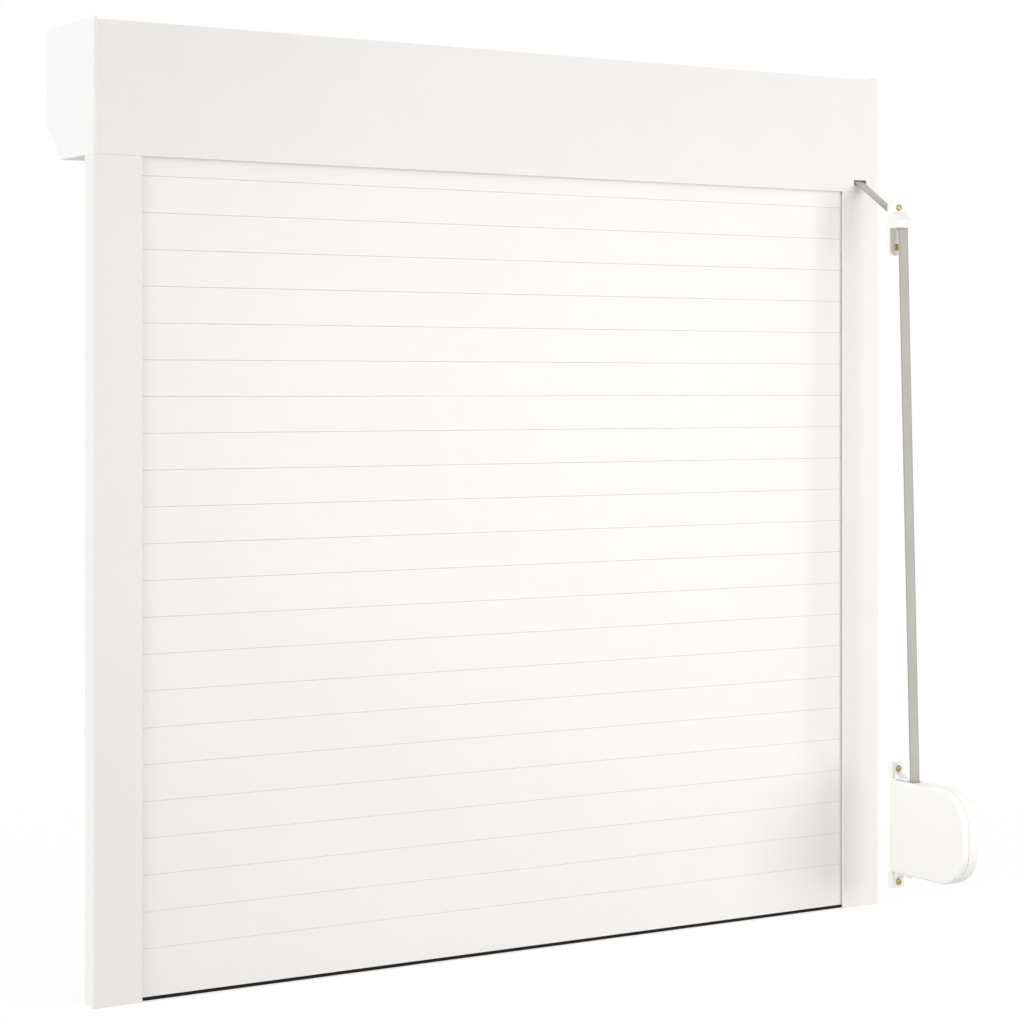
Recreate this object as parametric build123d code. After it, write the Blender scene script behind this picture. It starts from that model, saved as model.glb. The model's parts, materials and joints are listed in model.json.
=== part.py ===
from build123d import *
import math
import os

# Exterior roller shutter with a strap drive, closed.
# X runs along the width, Y points away from the room, Z points up. The origin is the
# centre of the box's room-side face, which rests against the wall or window frame.
# All sizes are in millimetres.

# Overall shape
overall_width = 1000.0
box_height = 134.5
box_depth = 122.0
box_chamfer = 39.0
box_sheet = 1.2
box_lower_edge = 0.8
box_corner_radius = 7.0
throat_depth = 24.0
cover_lip = 8.0

# End caps of the box
cap_thickness = 4.0
cap_rim = 2.5
cap_edge_radius = 0.8
cap_corner_radius = 9.0
cap_flange_length = 10.0
cap_flange_wall = 1.5
cap_boss_wall = 3.0
tongue_width = 12.0
tongue_height = 30.0
tongue_seat = 12.0

# Guide rails
rail_width = 53.0
rail_depth = 22.0
rail_wall = 1.5
rail_edge_radius = 0.8
groove_depth = 15.0
groove_width = 13.0
brush_width = 3.6
brush_gap = 0.3
inlet_height = 18.0
inlet_wall = 1.3
inlet_flare = 0.9

# Curtain
slat_count = 22
slat_pitch = 37.0
slat_thickness = 8.0
slat_recess = 4.0
slat_wall = 1.0
slat_joint = 0.15
slat_edge = 0.3
slat_end_inset = 42.0
slat_entry = 18.0
pocket_lip = 1.2
pocket_mouth = 2.2
pocket_width = 3.6
pocket_height = 7.0
hook_stem = 1.4
hook_head = 2.8
hook_head_low = 2.2
hook_head_high = 4.5
end_slat_height = 48.5
seal_height = 4.0
seal_width = 6.0
seal_stem_width = 2.0
seal_stem_height = 4.0
seal_clearance = 0.3
clip_flange = 1.2
clip_length = 12.0
clip_clearance = 0.2
clip_spacing = 2

# Axle in the box
axle_across_flats = 40.0
axle_wall = 0.8
axle_sides = 8
spigot_length = 40.0
spigot_clearance = 0.2
pin_radius = 6.0
pin_end_gap = 1.0
bearing_wall = 4.0
bearing_clearance = 0.05
bearing_length = 8.0
idler_collar_radius = 23.0
idler_collar = 3.0
idler_gap = 22.0
attachment_count = 3
attachment_span = 660.0
attachment_width = 30.0
attachment_sheet = 1.0
attachment_grip = 10.0

# Strap and its pulley
strap_inset = 27.0
strap_width = 14.0
strap_sheet = 1.2
strap_gap = 0.3
strap_slope_deg = 32.6
pulley_clearance = 5.8
pulley_flange_step = 6.0
pulley_winding = 6.5
pulley_flange = 1.5
pulley_side_gap = 0.5

# Slot in the box's room-side face, with its roller
slot_width = 18.6
slot_low = 8.8
slot_high = 14.5
slot_strap_height = 11.0
slot_roller_radius = 4.0
slot_roller_reach = 4.5
cheek_gap = 0.2
cheek_wall = 1.0
cheek_margin = 5.5
slot_base = 2.0
slot_base_side = 11.0

# Rollers turn on identical pins
roller_side_gap = 0.4
roller_pin_radius = 1.5
roller_pin_clearance = 0.05

# Strap guide on the wall
wall_offset = 62.0
guide_plate_thickness = 4.5
guide_width = 20.0
guide_roller_radius = 5.0
guide_roller_reach = 10.1
guide_screw_rise = 20.0
guide_screw_spacing = 46.0
guide_boss_depth = 8.6
guide_hood_depth = 20.0
guide_hood_rise = 5.0
guide_hood_drop = 4.0
guide_hood_wall = 1.3
guide_channel = 2.0
guide_cover_fillet = 1.5
guide_end_margin = 9.0

# Wall screws
screw_radius = 1.75
screw_hole_radius = 2.1
screw_head_radius = 3.8
screw_head_height = 2.2
screw_end_gap = 0.5
screw_recess_width = 0.9
screw_recess_depth = 1.0

# Strap winder
winder_height = 106.5
winder_case_height = 108.0
winder_rear_gap = 4.5
winder_case_depth = 129.5
winder_case_width = 24.0
winder_wall = 2.0
winder_front_radius = 42.0
winder_rear_radius = 6.0
winder_edge_radius = 4.0
winder_seam_inset = 8.6
winder_seam_width = 1.0
winder_seam_depth = 0.8
winder_strap_reach = 37.0
winder_pivot_reach = 28.0
winder_inlet_front = 7.0
winder_inlet_rear = 2.5
winder_inlet_width = 18.0
pivot_radius = 3.0
pivot_height = 4.0
pivot_clearance = 0.05
lug_eye_radius = 5.5
lug_sheet = 2.0
lug_gap = 0.5
bracket_width = 18.0
bracket_height = 19.0
bracket_depth = 8.0
bracket_gusset_rise = 8.0
bracket_gusset_reach = 18.0
bracket_screw_rise = 12.0
bracket_corner_radius = 2.0
bracket_edge = 0.6

# Drum inside the winder
drum_core_radius = 26.0
drum_strap_radius = 30.0
drum_flange_radius = 41.0
drum_flange = 1.2
drum_side_gap = 0.4
drum_rim = 2.0
drum_hub_wall = 2.0
drum_web = 2.0
drum_axle_radius = 4.0
drum_axle_clearance = 0.05
spring_clearance = 0.3
spring_pitch = 1.6
spring_turns = 9
spring_turn_points = 16
spring_sheet = 0.5
case_screw_radius = 1.4
case_screw_clearance = 0.1
case_screw_head_radius = 2.8
case_screw_head_height = 1.2
case_screw_inset = 15.0
case_boss_radius = 4.0

# Small screws that hold the inspection cover
cover_screw_radius = 1.5
cover_screw_clearance = 0.1
cover_screw_head_radius = 3.2
cover_screw_head_height = 1.8
cover_screw_length = 8.0
cover_screw_inset = 9.0

# Every cut runs this far past the material that it goes through
overrun = 1.0

# Places worked out from the sizes above
half_width = overall_width / 2
box_low = -box_height / 2
box_high = box_height / 2
curtain_height = seal_height + end_slat_height + slat_count * slat_pitch
rail_length = curtain_height - slat_entry
sill = box_low - rail_length
box_inner = half_width - cap_thickness
rail_inner = half_width - rail_width
groove_end = rail_inner + groove_depth
slat_low = slat_recess
slat_high = slat_recess + slat_thickness
slat_middle = slat_recess + slat_thickness / 2
slat_end = half_width - slat_end_inset
axle_depth = box_depth / 2
pulley_flange_radius = min(box_depth, box_height) / 2 - box_sheet - pulley_clearance
pulley_strap_radius = pulley_flange_radius - pulley_flange_step
pulley_core_radius = pulley_strap_radius - pulley_winding
strap_x = half_width - strap_inset
strap_near = strap_x - strap_width / 2
strap_far = strap_x + strap_width / 2
strap_offset = strap_sheet / 2
roller_half = strap_width / 2 + roller_side_gap
cheek_inner = roller_half + cheek_gap
cheek_outer = cheek_inner + cheek_wall


def block(x_low, x_high, y_low, y_high, z_low, z_high):
    """A rectangular solid between its low and high corners."""
    middle = Pos((x_low + x_high) / 2, (y_low + y_high) / 2, (z_low + z_high) / 2)
    return middle * Box(x_high - x_low, y_high - y_low, z_high - z_low)


def rod_x(radius, y, z, x_low, x_high):
    """A round rod along X."""
    return Pos((x_low + x_high) / 2, y, z) * Rot(0, 90, 0) * Cylinder(radius, x_high - x_low)


def rod_y(radius, x, z, y_low, y_high):
    """A round rod along Y."""
    return Pos(x, (y_low + y_high) / 2, z) * Rot(90, 0, 0) * Cylinder(radius, y_high - y_low)


def rod_z(radius, x, y, z_low, z_high):
    """A round rod along Z."""
    return Pos(x, y, (z_low + z_high) / 2) * Cylinder(radius, z_high - z_low)


def ring_x(outer, inner, y, z, x_low, x_high):
    """A round ring whose axis is X."""
    bore = rod_x(inner, y, z, x_low - overrun, x_high + overrun)
    return rod_x(outer, y, z, x_low, x_high) - bore


def bar_x(outline, x_low, x_high):
    """A straight bar along X whose section is a closed list of (y, z) points."""
    section = Plane.YZ * make_face(Polyline(*outline, close=True))
    return Pos(x_low, 0, 0) * extrude(section, amount=x_high - x_low, dir=(1, 0, 0))


def sheet_outline(points, thickness):
    """The outline of a bent sheet: the points, then the same points shifted to their left."""
    shifted = []
    for i, (a, b) in enumerate(points):
        before = points[max(i - 1, 0)]
        after = points[min(i + 1, len(points) - 1)]
        incoming = (a - before[0], b - before[1]) if i > 0 else (after[0] - a, after[1] - b)
        outgoing = (after[0] - a, after[1] - b) if i < len(points) - 1 else incoming
        angle_in = math.atan2(incoming[1], incoming[0])
        angle_out = math.atan2(outgoing[1], outgoing[0])
        turn = math.remainder(angle_out - angle_in, math.tau) / 2
        reach = thickness / math.cos(turn)
        normal = angle_in + turn + math.pi / 2
        shifted.append((a + reach * math.cos(normal), b + reach * math.sin(normal)))
    return list(points) + shifted[::-1]


def mirrored(solid):
    """The same solid on the other side of the shutter's middle."""
    return mirror(solid, Plane.YZ)


def save(name, *solids):
    """Write one node, as its own file."""
    shape = solids[0] if len(solids) == 1 else Compound(children=list(solids))
    export_step(shape, os.path.join("parts", name + ".step"))


def box_outline(inset):
    """The end view of the box, moved inwards by inset, as (y, z) points."""
    # the two corners of the chamfer move along its ends by this much
    slant = inset * math.tan(math.radians(22.5))
    return [
        (inset, box_low + inset),
        (inset, box_high - inset),
        (box_depth - inset, box_high - inset),
        (box_depth - inset, box_low + box_chamfer + slant),
        (box_depth - box_chamfer - slant, box_low + inset),
    ]


# Box panels
def make_back_panel():
    """The flat room-side panel, with the slot that the strap comes out of."""
    panel = block(-box_inner, box_inner, 0, box_sheet, box_low, box_high)
    # the lower edge is rounded where the sheet is rolled
    low_edge = panel.edges().filter_by(Axis.X).sort_by_distance(Vector(0, 0, box_low))[0]
    panel = fillet(low_edge, box_lower_edge)
    slot = block(
        strap_x - slot_width / 2,
        strap_x + slot_width / 2,
        -overrun,
        box_sheet + overrun,
        box_low + slot_low,
        box_low + slot_high,
    )
    return panel - slot


def make_top_panel():
    """The top panel, with the rounded corner over the exterior side."""
    fold = box_high - box_corner_radius - box_sheet
    points = [(box_depth, fold), (box_depth, box_high), (box_sheet, box_high)]
    panel = bar_x(sheet_outline(points, box_sheet), -box_inner, box_inner)
    # the inner corner is rounded first, because it adds the material that the outer one needs
    for inset, radius in ((box_sheet, box_corner_radius - box_sheet), (0, box_corner_radius)):
        corner = Vector(0, box_depth - inset, box_high - inset)
        along = panel.edges().filter_by(Axis.X)
        panel = fillet(along.sort_by_distance(corner)[0], radius)
    return panel


def make_front_panel():
    """The flat exterior panel."""
    top = box_high - box_corner_radius - box_sheet
    return block(
        -box_inner, box_inner, box_depth - box_sheet, box_depth, box_low + box_chamfer, top
    )


def cover_screw_places():
    """Where the cover screws stand: X, then Y and Z on the chamfer's outer face."""
    y_middle = box_depth - box_chamfer / 2
    z_middle = box_low + box_chamfer / 2
    shift = box_chamfer / 4
    places = []
    for side in (-1, 1):
        for step in (-1, 1):
            places.append(
                (
                    side * (half_width - cover_screw_inset),
                    y_middle + step * shift,
                    z_middle + step * shift,
                )
            )
    return places


def on_chamfer(solid, place):
    """Stand a solid made along Z on the chamfer, with +Z pointing outwards."""
    return Pos(*place) * Rot(-135, 0, 0) * solid


def cover_screw_bores():
    """The holes for the cover screws, through the cover and the cap's flange."""
    radius = cover_screw_radius + cover_screw_clearance
    length = 2 * cover_screw_length
    return [on_chamfer(Cylinder(radius, length), place) for place in cover_screw_places()]


def make_inspection_cover():
    """The removable cover: the chamfer, the bottom and the lip beside the curtain's throat."""
    points = [
        (throat_depth, box_low + cover_lip),
        (throat_depth, box_low),
        (box_depth - box_chamfer, box_low),
        (box_depth, box_low + box_chamfer),
    ]
    cover = bar_x(sheet_outline(points, box_sheet), -box_inner, box_inner)
    cut = block(
        -box_inner - overrun,
        box_inner + overrun,
        box_depth - 2 * box_sheet - overrun,
        box_depth + overrun,
        box_low + box_chamfer,
        box_low + box_chamfer + 2 * box_sheet,
    )
    cover = cover - cut
    for bore in cover_screw_bores():
        cover = cover - bore
    return cover


def make_cover_screw(place):
    """One pan-head screw of the inspection cover."""
    head = Pos(0, 0, cover_screw_head_height / 2) * Cylinder(
        cover_screw_head_radius, cover_screw_head_height
    )
    head = fillet(head.edges().group_by(Axis.Z)[-1], cover_screw_head_height / 2)
    shank = Pos(0, 0, -cover_screw_length / 2) * Cylinder(cover_screw_radius, cover_screw_length)
    slot = Pos(0, 0, cover_screw_head_height) * Box(
        2 * cover_screw_head_radius, screw_recess_width, screw_recess_depth
    )
    return on_chamfer(head + shank - slot, place)


# End caps
def make_end_cap():
    """The right end cap: plate, rim, inner flange, bearing boss and the tongue in the rail."""
    outline = [
        (0, box_low),
        (0, box_high + cap_rim),
        (box_depth + cap_rim, box_high + cap_rim),
        (box_depth + cap_rim, box_low + box_chamfer),
        (box_depth - box_chamfer + cap_rim, box_low),
    ]
    plate = bar_x(outline, box_inner, half_width)
    corner = plate.edges().filter_by(Axis.X).sort_by_distance(
        Vector(half_width, box_depth + cap_rim, box_high + cap_rim)
    )[0]
    plate = fillet(corner, cap_corner_radius)
    rim_edges = plate.faces().sort_by(Axis.X)[-1].edges()
    plate = fillet(rim_edges, cap_edge_radius)
    flange_low = box_inner - cap_flange_length
    flange = bar_x(box_outline(box_sheet), flange_low, box_inner)
    hollow = bar_x(box_outline(box_sheet + cap_flange_wall), flange_low - overrun, box_inner)
    cap = plate + (flange - hollow)
    corner_cut = block(
        flange_low - overrun,
        box_inner,
        box_depth - box_corner_radius,
        box_depth,
        box_high - box_corner_radius,
        box_high,
    )
    cap = cap - corner_cut
    # the cover's lip beside the throat passes through this notch in the flange
    notch = block(
        flange_low - overrun,
        box_inner,
        throat_depth - brush_gap,
        throat_depth + box_sheet + brush_gap,
        box_low,
        box_low + cover_lip + brush_gap,
    )
    cap = cap - notch
    boss_bore = pin_radius + bearing_clearance + bearing_wall + bearing_clearance
    cap = cap + ring_x(boss_bore + cap_boss_wall, boss_bore, axle_depth, 0, flange_low, box_inner)
    tongue_low = rail_wall + brush_gap
    tongue_high = rail_wall + groove_width - brush_gap
    tongue = block(
        half_width - cap_thickness + overrun - tongue_width,
        half_width - cap_thickness + overrun,
        tongue_low,
        tongue_high,
        box_low - tongue_height,
        box_low + tongue_seat,
    )
    cap = cap + tongue
    for bore in cover_screw_bores():
        cap = cap - bore
    return cap


# Guide rails
def make_rail():
    """The right guide rail: a closed chamber, the curtain's groove and a rear chamber."""
    rail = block(rail_inner, half_width, 0, rail_depth, sill, box_low)
    rail = fillet(rail.edges().filter_by(Axis.Z), rail_edge_radius)
    low = sill - overrun
    high = box_low + overrun
    web_outer = groove_end + rail_wall
    double_low = rail_wall + groove_width
    double_high = double_low + rail_wall
    groove = block(rail_inner - overrun, groove_end, rail_wall, double_low, low, high)
    chamber = block(web_outer, half_width - rail_wall, rail_wall, double_low, low, high)
    rear = block(
        rail_inner + rail_wall,
        half_width - rail_wall,
        double_high,
        rail_depth - rail_wall,
        low,
        high,
    )
    return rail - groove - chamber - rear


def make_brushes():
    """The two brush strips in the right rail's mouth, one each side of the curtain."""
    near = block(
        rail_inner + brush_gap,
        rail_inner + brush_gap + brush_width,
        rail_wall,
        slat_low - brush_gap,
        sill,
        box_low,
    )
    far = block(
        rail_inner + brush_gap,
        rail_inner + brush_gap + brush_width,
        slat_high + brush_gap,
        rail_wall + groove_width,
        sill,
        box_low,
    )
    return [near, far]


def make_inlet():
    """The right funnel on top of the rail, which leads the slats into the groove."""
    x_outer = groove_end - brush_gap
    x_inner = rail_inner
    y_low = box_sheet + brush_gap
    y_high = rail_wall + groove_width + inlet_wall
    body = block(x_inner, x_outer, y_low, y_high, box_low, box_low + inlet_height)
    gap_low = slat_low - brush_gap
    gap_high = slat_high + brush_gap
    way = block(
        x_inner - overrun,
        x_outer - inlet_wall,
        gap_low,
        gap_high,
        box_low - overrun,
        box_low + inlet_height + overrun,
    )
    body = body - way
    mouth = body.edges().filter_by(Axis.X).filter_by(
        lambda e: abs(e.center().Z - box_low - inlet_height) < brush_gap
        and gap_low - brush_gap < e.center().Y < gap_high + brush_gap
    )
    return chamfer(mouth, inlet_flare)


# Curtain
def slat_section(height, with_pocket):
    """Half-open section of a slat of this height, as (y, z) points, hook on top."""
    top = height - slat_joint
    stem = hook_stem / 2
    head = hook_head / 2
    middle = slat_middle
    points = [
        (slat_low, slat_edge),
        (slat_low, top - slat_edge),
        (slat_low + slat_edge, top),
        (middle - stem, top),
        (middle - stem, height + hook_head_low),
        (middle - head, height + hook_head_low),
        (middle - head, height + hook_head_high),
        (middle + head, height + hook_head_high),
        (middle + head, height + hook_head_low),
        (middle + stem, height + hook_head_low),
        (middle + stem, top),
        (slat_high - slat_edge, top),
        (slat_high, top - slat_edge),
        (slat_high, slat_edge),
        (slat_high - slat_edge, 0),
    ]
    if with_pocket:
        points += [
            (middle + pocket_mouth / 2, 0),
            (middle + pocket_mouth / 2, pocket_lip),
            (middle + pocket_width / 2, pocket_lip),
            (middle + pocket_width / 2, pocket_height),
            (middle - pocket_width / 2, pocket_height),
            (middle - pocket_width / 2, pocket_lip),
            (middle - pocket_mouth / 2, pocket_lip),
            (middle - pocket_mouth / 2, 0),
        ]
    points.append((slat_low + slat_edge, 0))
    return points


def chamber(z_low, z_high):
    """A hollow that runs the whole length of a slat."""
    return block(
        -slat_end - overrun,
        slat_end + overrun,
        slat_low + slat_wall,
        slat_high - slat_wall,
        z_low,
        z_high,
    )


def slat_chambers():
    """Lowest and highest level of each of a slat's two hollows."""
    low = pocket_height + slat_wall
    high = slat_pitch - slat_joint - slat_wall
    rib = (low + high) / 2
    return [(low, rib - slat_wall / 2), (rib + slat_wall / 2, high)]


def make_slat():
    """One slat, standing on Z = 0: hook on top, pocket below, two hollows."""
    slat = bar_x(slat_section(slat_pitch, True), -slat_end, slat_end)
    for z_low, z_high in slat_chambers():
        slat = slat - chamber(z_low, z_high)
    return slat


def slat_bottom(index):
    """Level of a slat's lower edge; slat 1 is the top one."""
    return sill + seal_height + end_slat_height + (slat_count - index) * slat_pitch


def make_end_slat():
    """The taller slat at the bottom, with the groove that holds the seal."""
    slat = bar_x(slat_section(end_slat_height, False), -slat_end, slat_end)
    groove = block(
        -slat_end - overrun,
        slat_end + overrun,
        slat_middle - seal_stem_width / 2 - seal_clearance,
        slat_middle + seal_stem_width / 2 + seal_clearance,
        -overrun,
        seal_stem_height + seal_clearance,
    )
    low = seal_stem_height + seal_clearance + slat_wall
    high = end_slat_height - slat_joint - slat_wall
    slat = slat - groove - chamber(low, high)
    return Pos(0, 0, sill + seal_height) * slat


def make_seal():
    """The rubber seal under the end slat: a flat foot and a stem in the groove."""
    foot = block(
        -slat_end,
        slat_end,
        slat_middle - seal_width / 2,
        slat_middle + seal_width / 2,
        sill,
        sill + seal_height,
    )
    foot = fillet(foot.edges().filter_by(Axis.X).group_by(Axis.Z)[0], seal_height / 4)
    stem = block(
        -slat_end,
        slat_end,
        slat_middle - seal_stem_width / 2,
        slat_middle + seal_stem_width / 2,
        sill + seal_height,
        sill + seal_height + seal_stem_height,
    )
    return foot + stem


def make_plug(z_bottom, z_low, z_high, flange_low, flange_high):
    """A plug in a slat's right end: a tenon in the hollow and a flange on the end face."""
    tenon = block(
        slat_end - clip_length,
        slat_end,
        slat_low + slat_wall + clip_clearance,
        slat_high - slat_wall - clip_clearance,
        z_bottom + z_low + clip_clearance,
        z_bottom + z_high - clip_clearance,
    )
    flange = block(
        slat_end,
        slat_end + clip_flange,
        slat_low,
        slat_high,
        z_bottom + flange_low,
        z_bottom + flange_high,
    )
    return tenon + flange


def make_end_clips():
    """Clips in both ends of every second slat, which stop the slats sliding sideways."""
    z_low, z_high = slat_chambers()[1]
    clips = []
    for index in range(1, slat_count + 1, clip_spacing):
        clip = make_plug(slat_bottom(index), z_low, z_high, slat_edge, slat_pitch - slat_joint)
        clips += [clip, mirrored(clip)]
    return clips


def make_end_slat_plugs():
    """The plugs that close both ends of the end slat."""
    low = seal_stem_height + seal_clearance + slat_wall
    high = end_slat_height - slat_joint - slat_wall
    plug = make_plug(sill + seal_height, low, high, slat_edge, end_slat_height - slat_joint)
    return [plug, mirrored(plug)]


# Axle
def octagon(across_flats, x_low, x_high):
    """An octagonal bar along X on the axle's line, with flats facing the room and up."""
    radius = across_flats / 2 / math.cos(math.pi / axle_sides)
    half_side = math.pi / axle_sides
    outline = []
    for i in range(axle_sides):
        angle = half_side + i * math.tau / axle_sides
        outline.append((axle_depth + radius * math.cos(angle), radius * math.sin(angle)))
    return bar_x(outline, x_low, x_high)


pulley_half = strap_width / 2 + pulley_side_gap
pulley_low = strap_x - pulley_half - pulley_flange
pulley_high = strap_x + pulley_half + pulley_flange
tube_low = -half_width + cap_thickness + idler_gap + idler_collar
tube_high = pulley_low - strap_gap
spigot_flats = axle_across_flats - 2 * axle_wall - 2 * spigot_clearance
pin_end = box_inner - pin_end_gap


def make_tube():
    """The octagonal steel tube that the curtain winds on to."""
    hollow = octagon(axle_across_flats - 2 * axle_wall, tube_low - overrun, tube_high + overrun)
    return octagon(axle_across_flats, tube_low, tube_high) - hollow


def make_idler_plug():
    """The plug in the tube's left end, with the pin that turns in the left bearing."""
    spigot = octagon(spigot_flats, tube_low, tube_low + spigot_length)
    collar_low = tube_low - strap_gap - idler_collar
    collar = rod_x(idler_collar_radius, axle_depth, 0, collar_low, tube_low - strap_gap)
    neck = rod_x(pin_radius, axle_depth, 0, -pin_end, tube_low + strap_gap)
    return spigot + collar + neck


def make_pulley():
    """The strap pulley: two flanges, a core, a spigot in the tube and the right pin."""
    core = rod_x(pulley_core_radius, axle_depth, 0, pulley_low, pulley_high)
    flanges = rod_x(
        pulley_flange_radius, axle_depth, 0, pulley_low, pulley_low + pulley_flange
    ) + rod_x(pulley_flange_radius, axle_depth, 0, pulley_high - pulley_flange, pulley_high)
    hub_radius = idler_collar_radius
    pocket = ring_x(
        pulley_core_radius - pulley_flange,
        hub_radius,
        axle_depth,
        0,
        pulley_low + pulley_flange,
        pulley_high + overrun,
    )
    spigot = octagon(spigot_flats, tube_high - spigot_length, pulley_low)
    pin = rod_x(pin_radius, axle_depth, 0, pulley_high, pin_end)
    return core + flanges - pocket + spigot + pin


def make_bearing():
    """The right bearing bush, seated in the end cap's boss."""
    inner = pin_radius + bearing_clearance
    return ring_x(inner + bearing_wall, inner, axle_depth, 0, box_inner - bearing_length, box_inner)


def make_attachments():
    """The strips that hang the top slat from the tube."""
    face = axle_depth - axle_across_flats / 2 - strap_gap
    hook_top = slat_bottom(1) + slat_pitch + hook_head_high
    lower = hook_top + strap_gap
    points = [
        (face, attachment_grip),
        (face, -attachment_grip),
        (slat_middle + attachment_sheet / 2, lower + attachment_sheet),
        (slat_middle + attachment_sheet / 2, lower),
    ]
    outline = sheet_outline(points[::-1], attachment_sheet)
    strips = []
    for i in range(attachment_count):
        x = attachment_span * (i / (attachment_count - 1) - 1 / 2)
        strips.append(bar_x(outline, x - attachment_width / 2, x + attachment_width / 2))
    return strips


# Strap route, in the Y-Z plane. Each wheel that it passes is a centre and a signed
# distance to the strap's middle: positive where the wheel lies under the strap.
slope = math.radians(strap_slope_deg)
slot_strap_z = box_low + slot_strap_height
slot_roller_line = slot_roller_radius + strap_gap + strap_offset
guide_roller_line = guide_roller_radius + strap_gap + strap_offset
slot_roller_y = slot_roller_reach + slot_roller_line * math.sin(slope)
slot_roller_z = (
    slot_strap_z + slot_roller_reach * math.tan(slope) - slot_roller_line * math.cos(slope)
)
guide_roller_y = -wall_offset - guide_roller_reach
guide_roller_z = (
    slot_strap_z
    + (guide_roller_y - guide_roller_line * math.sin(slope)) * math.tan(slope)
    - guide_roller_line * math.cos(slope)
)
winder_low = sill + winder_height - winder_case_height / 2
winder_high = sill + winder_height + winder_case_height / 2
winder_strap_y = -wall_offset - winder_strap_reach
strap_wheels = [
    ((axle_depth, 0), -(pulley_strap_radius + strap_gap + strap_offset)),
    ((slot_roller_y, slot_roller_z), slot_roller_line),
    ((guide_roller_y, guide_roller_z), guide_roller_line),
    ((winder_strap_y, winder_high + strap_gap), 0),
]


def strap_directions():
    """The direction angle of each straight run, from the pulley to the winder."""
    angles = []
    for (here, r_here), (there, r_there) in zip(strap_wheels, strap_wheels[1:]):
        run = (there[0] - here[0], there[1] - here[1])
        bearing = math.atan2(run[1], run[0])
        angles.append(bearing - math.asin((r_there - r_here) / math.hypot(*run)))
    return angles


def strap_point(wheel, angle, offset):
    """Where a run in this direction meets a wheel, offset to the strap's underside."""
    (y, z), reach = wheel
    shift = offset - reach
    return (y - shift * math.sin(angle), z + shift * math.cos(angle))


def strap_side(offset):
    """The lines and arcs of one face of the strap, from the pulley to the winder."""
    angles = strap_directions()
    parts = []
    last = strap_point(strap_wheels[0], angles[0], offset)
    for i in range(1, len(strap_wheels) - 1):
        wheel = strap_wheels[i]
        arrive = strap_point(wheel, angles[i - 1], offset)
        turn = math.remainder(angles[i] - angles[i - 1], math.tau)
        middle = strap_point(wheel, angles[i - 1] + turn / 2, offset)
        leave = strap_point(wheel, angles[i], offset)
        parts.append(Line(last, arrive))
        parts.append(ThreePointArc(arrive, middle, leave))
        last = leave
    end = strap_point(strap_wheels[-1], angles[-1], offset)
    parts.append(Line(last, end))
    return parts


def make_strap():
    """The strap's open run: off the pulley, over both rollers and down to the winder."""
    near = strap_side(-strap_offset)
    far = strap_side(strap_offset)
    start = Line(near[0] @ 0, far[0] @ 0)
    end = Line(near[-1] @ 1, far[-1] @ 1)
    section = Plane.YZ * make_face(Curve() + near + far + [start, end])
    return Pos(strap_near, 0, 0) * extrude(section, amount=strap_width, dir=(1, 0, 0))


def make_strap_on_pulley():
    """The strap wound on the pulley while the shutter is closed."""
    inner = pulley_core_radius + strap_gap
    return ring_x(pulley_strap_radius, inner, axle_depth, 0, strap_near, strap_far)


# Slot guide and rollers
def make_roller(radius, y, z):
    """A roller with its bore, as wide as the strap and a little more."""
    bore = roller_pin_radius + roller_pin_clearance
    return ring_x(radius, bore, y, z, strap_x - roller_half, strap_x + roller_half)


def make_roller_pin(y, z):
    """The pin that a roller turns on, held in both cheeks."""
    return rod_x(roller_pin_radius, y, z, strap_x - cheek_outer, strap_x + cheek_outer)


def make_cheeks(y_low, y_high, z_low, z_high, y_pin, z_pin):
    """Two cheeks beside a roller, bored for its pin."""
    bore = rod_x(
        roller_pin_radius + roller_pin_clearance,
        y_pin,
        z_pin,
        strap_x - cheek_outer - overrun,
        strap_x + cheek_outer + overrun,
    )
    left = block(strap_x - cheek_outer, strap_x - cheek_inner, y_low, y_high, z_low, z_high)
    right = block(strap_x + cheek_inner, strap_x + cheek_outer, y_low, y_high, z_low, z_high)
    return (left + right) - bore


def make_slot_guide():
    """The bracket on the right rail's top end, which holds the slot roller."""
    y_low = box_sheet + brush_gap
    y_high = slot_roller_y + cheek_margin
    base = block(
        strap_x - slot_base_side,
        strap_x + slot_base_side,
        y_low,
        y_high,
        box_low,
        box_low + slot_base,
    )
    z_high = slot_roller_z + roller_pin_radius + cheek_wall
    cheeks = make_cheeks(
        y_low, y_high, box_low + slot_base, z_high, slot_roller_y, slot_roller_z
    )
    return base + cheeks


# Strap guide on the wall
guide_screw_high = guide_roller_z + guide_screw_rise
guide_screw_low = guide_screw_high - guide_screw_spacing
guide_front = -wall_offset - guide_plate_thickness


def guide_front_view(z_low, z_high, y_low, y_high):
    """A flat bar with round ends, seen from the room, centred on the strap."""
    radius = guide_width / 2
    bar = block(
        strap_x - radius, strap_x + radius, y_low, y_high, z_low + radius, z_high - radius
    )
    low = rod_y(radius, strap_x, z_low + radius, y_low, y_high)
    high = rod_y(radius, strap_x, z_high - radius, y_low, y_high)
    return bar + low + high


def strap_channel():
    """The way that the strap takes through the plate and the cover."""
    y_high = -wall_offset + overrun
    y_low = guide_roller_y
    z_high = slot_strap_z + y_high * math.tan(slope)
    z_low = slot_strap_z + y_low * math.tan(slope)
    outline = [
        (y_high, z_high + guide_channel),
        (y_low, z_low + guide_channel),
        (y_low, z_low - 2 * guide_channel),
        (y_high, z_high - 2 * guide_channel),
    ]
    return bar_x(outline, strap_x - roller_half, strap_x + roller_half)


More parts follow.
